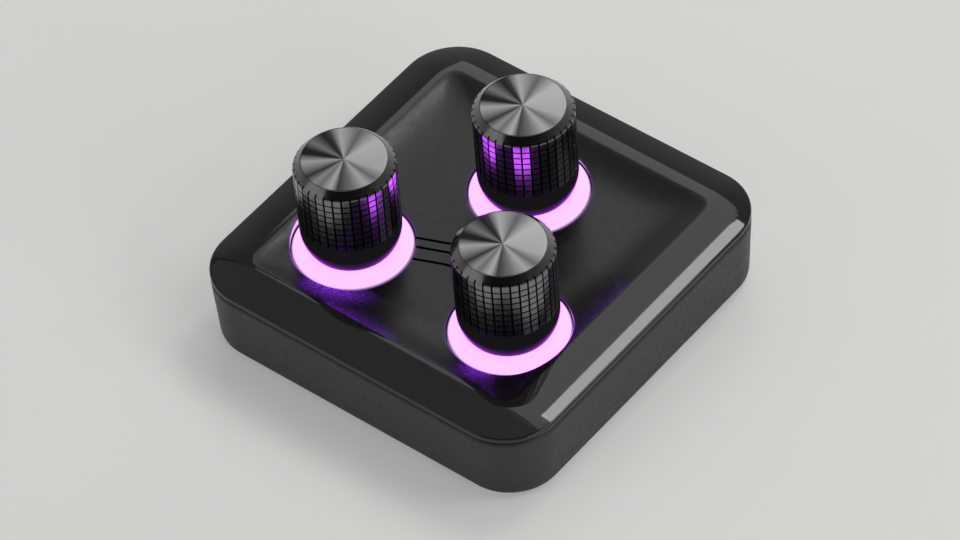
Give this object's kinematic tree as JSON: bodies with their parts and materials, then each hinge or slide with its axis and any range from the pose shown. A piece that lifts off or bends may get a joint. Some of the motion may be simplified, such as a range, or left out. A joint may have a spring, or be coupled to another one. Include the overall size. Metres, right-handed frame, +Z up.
{
  "type": "control knob module",
  "caption": "Square desk control module: dished matt deck in a glossy pillowed rim, with push-and-turn encoder knobs standing in glowing rings.",
  "frame": {"origin": "centre of the footprint, on the surface that the rubber feet stand on", "axes": "+Z up along the knobs; +X along the front row of knobs, to the right for someone at the front; +Y to the rear, where the port is"},
  "size_m": [0.061, 0.061, 0.0308],
  "materials": {
    "case_plastic": "fine satin moulded plastic, dark grey",
    "cover_gloss": "piano-black gloss",
    "deck_matt": "fine-grained soft-touch matt, dark grey",
    "ring_diffuser": "frosted diffuser, lit pink-violet",
    "lamp_resin": "white lamp package",
    "knob_anodised": "black anodised, satin",
    "disc_aluminium": "spun with a turned grain",
    "core_plastic": "moulded black plastic",
    "encoder_plastic": "glass-filled black plastic",
    "board_laminate": "green solder mask",
    "chip_resin": "black epoxy",
    "bright_steel": "nickel-plated",
    "dark_steel": "blackened",
    "foot_rubber": "matt rubber"
  },
  "bodies": {
    "housing": {"lower_case": "case_plastic", "cover": "cover_gloss", "deck": "deck_matt", "main_board": "board_laminate", "controller_chip": "chip_resin", "usb_socket": "bright_steel", "rubber_feet": "foot_rubber", "case_screws": "dark_steel", "board_screws": "bright_steel", "encoder_base_left": "encoder_plastic", "encoder_bush_left": "bright_steel", "switch_dome_left": "bright_steel", "light_board_left": "board_laminate", "lamps_left": "lamp_resin", "light_ring_left": "ring_diffuser", "encoder_base_right": "encoder_plastic", "encoder_bush_right": "bright_steel", "switch_dome_right": "bright_steel", "light_board_right": "board_laminate", "lamps_right": "lamp_resin", "light_ring_right": "ring_diffuser", "encoder_base_rear": "encoder_plastic", "encoder_bush_rear": "bright_steel", "switch_dome_rear": "bright_steel", "light_board_rear": "board_laminate", "lamps_rear": "lamp_resin", "light_ring_rear": "ring_diffuser"},
    "rotor_left": {"encoder_rotor_left": "encoder_plastic"},
    "knob_left": {"shaft_left": "bright_steel", "knob_shell_left": "knob_anodised", "knob_core_left": "core_plastic", "knob_disc_left": "disc_aluminium"},
    "rotor_right": {"encoder_rotor_right": "encoder_plastic"},
    "knob_right": {"shaft_right": "bright_steel", "knob_shell_right": "knob_anodised", "knob_core_right": "core_plastic", "knob_disc_right": "disc_aluminium"},
    "rotor_rear": {"encoder_rotor_rear": "encoder_plastic"},
    "knob_rear": {"shaft_rear": "bright_steel", "knob_shell_rear": "knob_anodised", "knob_core_rear": "core_plastic", "knob_disc_rear": "disc_aluminium"}
  },
  "joints": [
    {"name": "turn_left", "type": "hinge", "parent": "housing", "child": "rotor_left", "pos_m": [-0.01439, -0.01165, 0.013], "axis": [0, 0, 1], "continuous": true},
    {"name": "press_left", "type": "slide", "parent": "rotor_left", "child": "knob_left", "axis": [0, 0, 1], "range_m": [-0.0005, 0], "stiffness_N_per_m": 2500, "springref_m": 0.0001, "deforming": ["switch_dome_left"]},
    {"name": "turn_right", "type": "hinge", "parent": "housing", "child": "rotor_right", "pos_m": [0.01439, -0.01165, 0.013], "axis": [0, 0, 1], "continuous": true},
    {"name": "press_right", "type": "slide", "parent": "rotor_right", "child": "knob_right", "axis": [0, 0, 1], "range_m": [-0.0005, 0], "stiffness_N_per_m": 2500, "springref_m": 0.0001, "deforming": ["switch_dome_right"]},
    {"name": "turn_rear", "type": "hinge", "parent": "housing", "child": "rotor_rear", "pos_m": [0, 0.01154, 0.013], "axis": [0, 0, 1], "continuous": true},
    {"name": "press_rear", "type": "slide", "parent": "rotor_rear", "child": "knob_rear", "axis": [0, 0, 1], "range_m": [-0.0005, 0], "stiffness_N_per_m": 2500, "springref_m": 0.0001, "deforming": ["switch_dome_rear"]}
  ]
}
